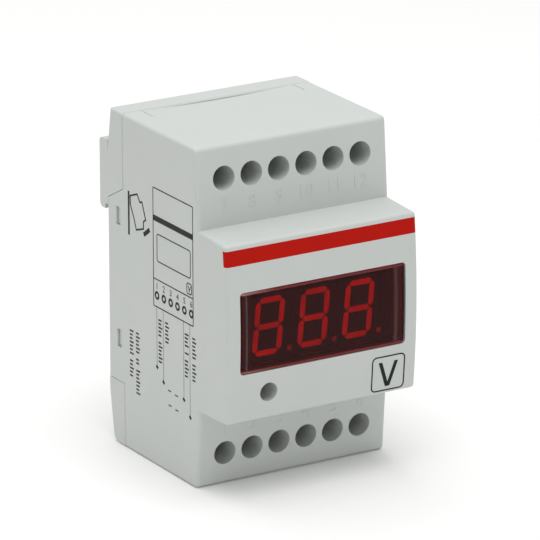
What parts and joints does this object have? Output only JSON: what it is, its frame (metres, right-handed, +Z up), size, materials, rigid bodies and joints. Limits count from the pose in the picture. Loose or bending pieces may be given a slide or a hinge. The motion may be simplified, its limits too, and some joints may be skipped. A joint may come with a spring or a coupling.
{
  "type": "rail-mounted digital voltmeter",
  "caption": "Modular rail-mounted digital voltmeter: stepped grey case with a red display window, a red stripe, screw terminals and a sprung rail clip.",
  "frame": {"origin": "centre of the rear face that sits on the rail, on the rail's centre line", "axes": "+X to the right seen from the front, +Y to the rear, towards the rail, +Z up along the case"},
  "size_m": [0.0524, 0.0599, 0.0842],
  "materials": {
    "case_grey": "fine moulded grain",
    "stripe_red": "satin print",
    "window_red": "polished, see-through red",
    "digit_face": "matte dark",
    "segment_red": "milky red resin",
    "clip_plastic": "moulded",
    "spring_steel": "bright drawn wire",
    "board": "solder resist",
    "terminal_plastic": "moulded",
    "brass": "tinned stamping",
    "plated_steel": "zinc plated",
    "trimmer_blue": "moulded",
    "rotor_white": "moulded",
    "potting": "potted",
    "can_sleeve": "shrink sleeve",
    "fuse_brown": "moulded",
    "disc_blue": "dipped resin",
    "resistor_body": "lacquered"
  },
  "bodies": {
    "case": {"front_cover": "case_grey", "rear_base": "case_grey", "upper_blank": "case_grey", "red_band": "stripe_red", "display_window": "window_red", "digit_1": "digit_face", "digit_2": "digit_face", "digit_3": "digit_face", "digit_1_segments": "segment_red", "digit_2_segments": "segment_red", "digit_3_segments": "segment_red", "clip_spring": "spring_steel", "main_board": "board", "display_board": "board", "riser_board": "board", "terminal_block": "terminal_plastic", "terminal_tongues": "brass", "display_screws": "plated_steel", "trimmer_body": "trimmer_blue", "transformer": "potting", "bridge_rectifier": "potting", "voltage_regulator": "potting", "converter_chip": "potting", "filter_capacitors": "can_sleeve", "fuse": "fuse_brown", "varistor": "disc_blue", "divider_resistors": "resistor_body"},
    "clip": {"rail_clip": "clip_plastic"},
    "trimmer": {"trimmer_rotor": "rotor_white"},
    "screw_1": {"terminal_screw_1": "plated_steel"},
    "cage_1": {"terminal_cage_1": "plated_steel"},
    "screw_2": {"terminal_screw_2": "plated_steel"},
    "cage_2": {"terminal_cage_2": "plated_steel"},
    "screw_3": {"terminal_screw_3": "plated_steel"},
    "cage_3": {"terminal_cage_3": "plated_steel"},
    "screw_4": {"terminal_screw_4": "plated_steel"},
    "cage_4": {"terminal_cage_4": "plated_steel"},
    "screw_5": {"terminal_screw_5": "plated_steel"},
    "cage_5": {"terminal_cage_5": "plated_steel"},
    "screw_6": {"terminal_screw_6": "plated_steel"},
    "cage_6": {"terminal_cage_6": "plated_steel"}
  },
  "joints": [
    {"name": "clip_slide", "type": "slide", "parent": "case", "child": "clip", "axis": [0, 0, 1], "range_m": [-0.004, 0], "stiffness_N_per_m": 1200, "springref_m": 0.002, "deforming": ["clip_spring"]},
    {"name": "trimmer_turn", "type": "hinge", "parent": "case", "child": "trimmer", "pos_m": [-0.0148, -0.0485, -0.0154], "axis": [0, 1, 0], "range_deg": [-135, 135]},
    {"name": "screw_1_turn", "type": "hinge", "parent": "case", "child": "screw_1", "pos_m": [-0.01875, -0.018, -0.0341], "axis": [0, 1, 0], "range_deg": [0, 1800]},
    {"name": "cage_1_rise", "type": "slide", "parent": "case", "child": "cage_1", "axis": [0, -1, 0], "range_m": [0, 0.0025]},
    {"name": "screw_2_turn", "type": "hinge", "parent": "case", "child": "screw_2", "pos_m": [-0.01125, -0.018, -0.0341], "axis": [0, 1, 0], "range_deg": [0, 1800]},
    {"name": "cage_2_rise", "type": "slide", "parent": "case", "child": "cage_2", "axis": [0, -1, 0], "range_m": [0, 0.0025]},
    {"name": "screw_3_turn", "type": "hinge", "parent": "case", "child": "screw_3", "pos_m": [-0.00375, -0.018, -0.0341], "axis": [0, 1, 0], "range_deg": [0, 1800]},
    {"name": "cage_3_rise", "type": "slide", "parent": "case", "child": "cage_3", "axis": [0, -1, 0], "range_m": [0, 0.0025]},
    {"name": "screw_4_turn", "type": "hinge", "parent": "case", "child": "screw_4", "pos_m": [0.00375, -0.018, -0.0341], "axis": [0, 1, 0], "range_deg": [0, 1800]},
    {"name": "cage_4_rise", "type": "slide", "parent": "case", "child": "cage_4", "axis": [0, -1, 0], "range_m": [0, 0.0025]},
    {"name": "screw_5_turn", "type": "hinge", "parent": "case", "child": "screw_5", "pos_m": [0.01125, -0.018, -0.0341], "axis": [0, 1, 0], "range_deg": [0, 1800]},
    {"name": "cage_5_rise", "type": "slide", "parent": "case", "child": "cage_5", "axis": [0, -1, 0], "range_m": [0, 0.0025]},
    {"name": "screw_6_turn", "type": "hinge", "parent": "case", "child": "screw_6", "pos_m": [0.01875, -0.018, -0.0341], "axis": [0, 1, 0], "range_deg": [0, 1800]},
    {"name": "cage_6_rise", "type": "slide", "parent": "case", "child": "cage_6", "axis": [0, -1, 0], "range_m": [0, 0.0025]}
  ],
  "couplings": [
    {"joint": "screw_1_turn", "follows": "cage_1_rise", "rad_per_m": 12566},
    {"joint": "screw_2_turn", "follows": "cage_2_rise", "rad_per_m": 12566},
    {"joint": "screw_3_turn", "follows": "cage_3_rise", "rad_per_m": 12566},
    {"joint": "screw_4_turn", "follows": "cage_4_rise", "rad_per_m": 12566},
    {"joint": "screw_5_turn", "follows": "cage_5_rise", "rad_per_m": 12566},
    {"joint": "screw_6_turn", "follows": "cage_6_rise", "rad_per_m": 12566}
  ]
}
